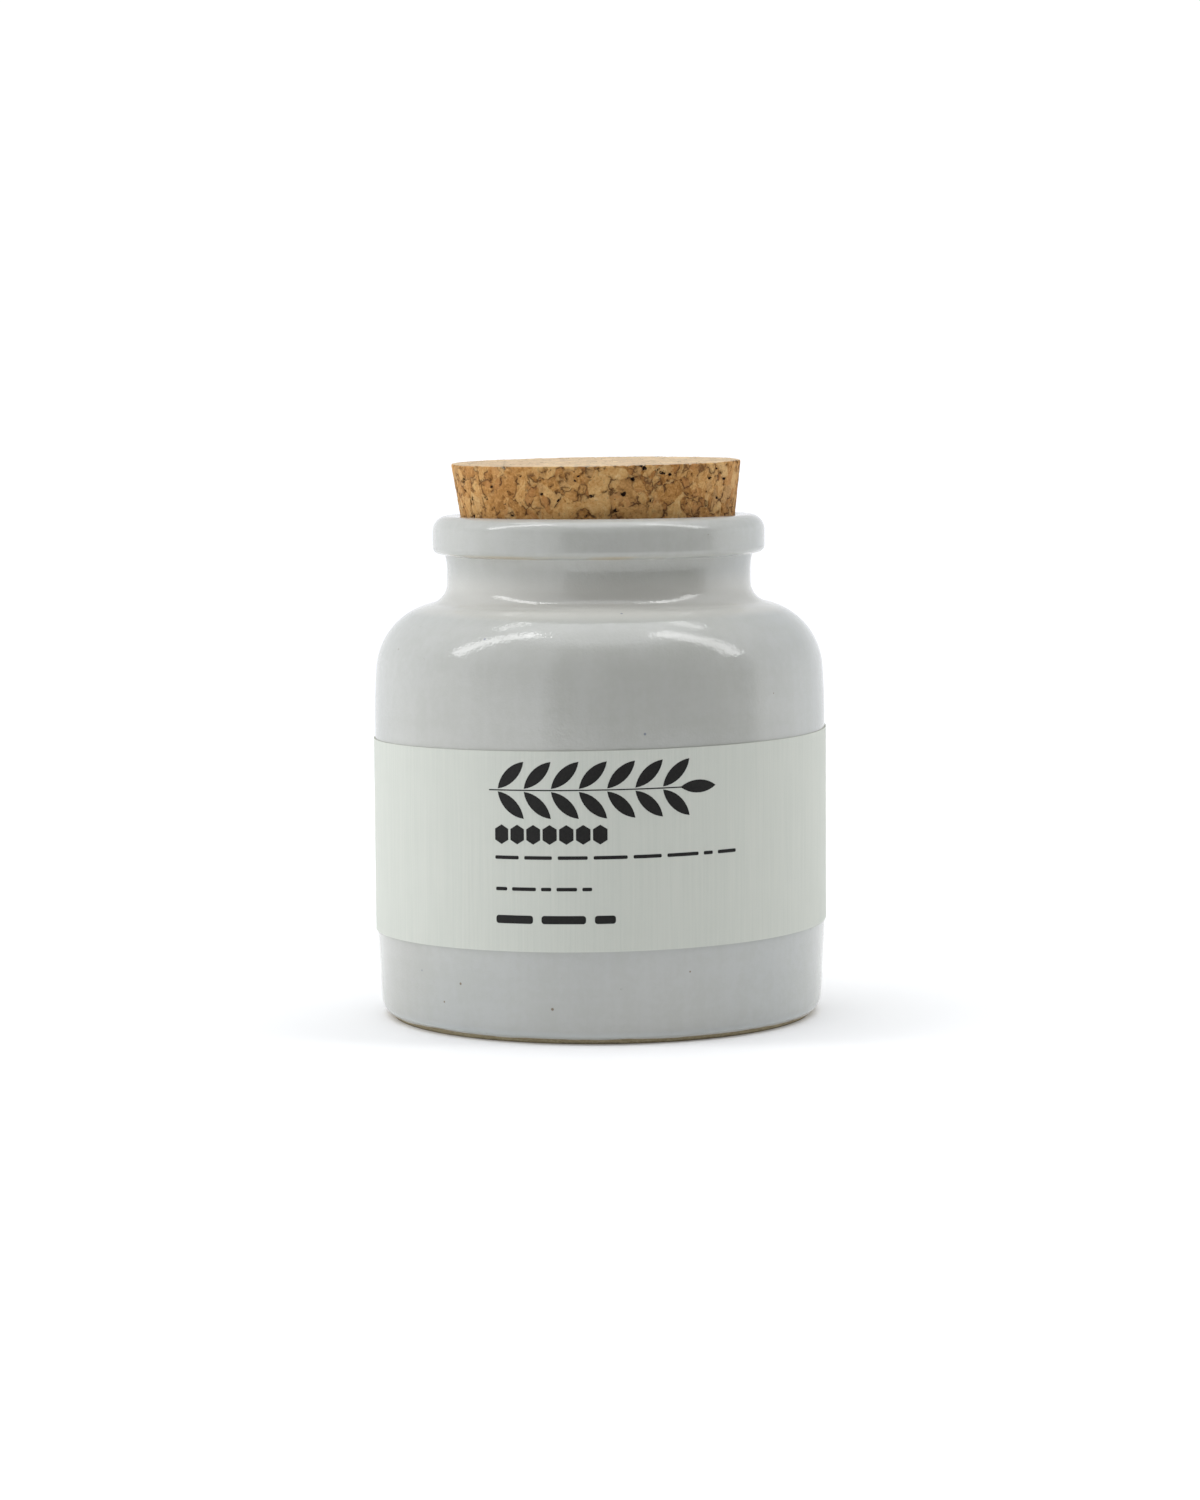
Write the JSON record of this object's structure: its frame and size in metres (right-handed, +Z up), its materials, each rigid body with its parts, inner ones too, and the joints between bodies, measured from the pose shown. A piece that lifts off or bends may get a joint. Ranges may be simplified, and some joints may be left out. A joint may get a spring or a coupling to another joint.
{
  "type": "corked stoneware mustard jar",
  "caption": "Shut stoneware mustard jar: round belly, necked collar, rolled lip, tapered cork pressed in slightly askew, and a paper band wrapped round the belly.",
  "frame": {"origin": "centre of the foot, on the surface that the jar stands on", "axes": "+Z up along the jar's turning axis, -Y towards the front of the label, +X to the right seen from the front"},
  "size_m": [0.0804, 0.0806, 0.0987],
  "materials": {
    "glazed_stoneware": "glossy pale grey glaze over stoneware, bare clay at the foot",
    "cork": "matte pressed cork granules with dark pits",
    "label_paper": "matte laid paper, pale greenish cream",
    "ink": "matte near-black print"
  },
  "bodies": {
    "root": {"jar": "glazed_stoneware", "cork": "cork", "label": "label_paper"}
  },
  "joints": []
}
